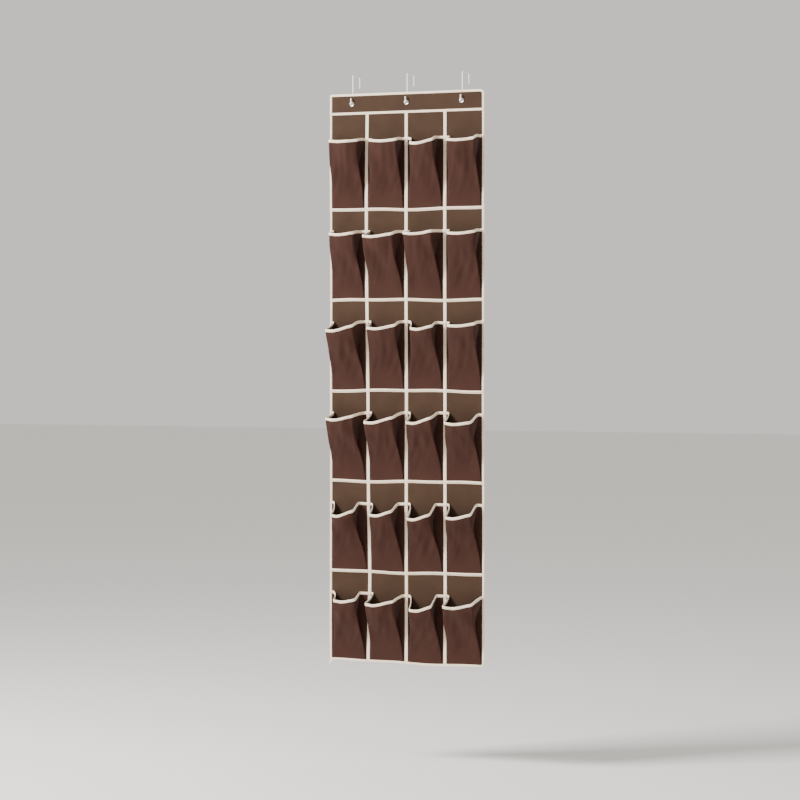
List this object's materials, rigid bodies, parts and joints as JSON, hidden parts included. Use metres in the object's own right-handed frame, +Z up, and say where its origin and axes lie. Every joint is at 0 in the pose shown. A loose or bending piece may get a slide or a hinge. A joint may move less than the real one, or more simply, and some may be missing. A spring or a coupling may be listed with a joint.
{
  "type": "over-the-door shoe organizer",
  "caption": "Over-the-door hanging shoe organizer: a brown fabric panel with rows of open-topped pockets, light binding tapes, and wire hooks that go over a door.",
  "frame": {"origin": "on the door's top front edge, under the middle hook: z = 0 is the underside of the hooks' saddles and y = 0 is the rear side of their front legs", "axes": "+Z up, +X to the right of someone facing the door, +Y into the door; the pockets face -Y"},
  "size_m": [0.4844, 0.1059, 1.6818],
  "materials": {
    "backing_fabric": "non-woven, matte",
    "pocket_fabric": "non-woven, matte",
    "binding_tape": "matte",
    "hook_wire": "white coated wire",
    "eyelet_metal": "nickel plated"
  },
  "bodies": {
    "hook_center_body": {"hook_center": "hook_wire"},
    "panel": {"back_panel": "backing_fabric", "header_facing": "backing_fabric", "perimeter_binding": "binding_tape", "header_tape": "binding_tape", "row_tape_1": "binding_tape", "row_tape_2": "binding_tape", "row_tape_3": "binding_tape", "row_tape_4": "binding_tape", "row_tape_5": "binding_tape", "column_tape_left": "binding_tape", "column_tape_center": "binding_tape", "column_tape_right": "binding_tape", "pocket_strip_1": "pocket_fabric", "pocket_strip_2": "pocket_fabric", "pocket_strip_3": "pocket_fabric", "pocket_strip_4": "pocket_fabric", "pocket_strip_5": "pocket_fabric", "pocket_strip_6": "pocket_fabric", "mouth_binding_1": "binding_tape", "mouth_binding_2": "binding_tape", "mouth_binding_3": "binding_tape", "mouth_binding_4": "binding_tape", "mouth_binding_5": "binding_tape", "mouth_binding_6": "binding_tape", "eyelet_left": "eyelet_metal", "eyelet_center": "eyelet_metal", "eyelet_right": "eyelet_metal", "eyelet_washer_left": "eyelet_metal", "eyelet_washer_center": "eyelet_metal", "eyelet_washer_right": "eyelet_metal"},
    "hook_left_body": {"hook_left": "hook_wire"},
    "hook_right_body": {"hook_right": "hook_wire"}
  },
  "joints": [
    {"name": "panel_swing", "type": "hinge", "parent": "hook_center_body", "child": "panel", "pos_m": [0, -0.009, -0.0789], "axis": [-1, 0, 0], "range_deg": [0, 6]},
    {"name": "hook_left_swing", "type": "hinge", "parent": "panel", "child": "hook_left_body", "pos_m": [-0.172, -0.009, -0.0789], "axis": [1, 0, 0], "range_deg": [0, 6]},
    {"name": "hook_right_swing", "type": "hinge", "parent": "panel", "child": "hook_right_body", "pos_m": [0.172, -0.009, -0.0789], "axis": [1, 0, 0], "range_deg": [0, 6]}
  ],
  "couplings": [
    {"joint": "hook_left_swing", "follows": "panel_swing", "ratio": 1},
    {"joint": "hook_right_swing", "follows": "panel_swing", "ratio": 1}
  ]
}
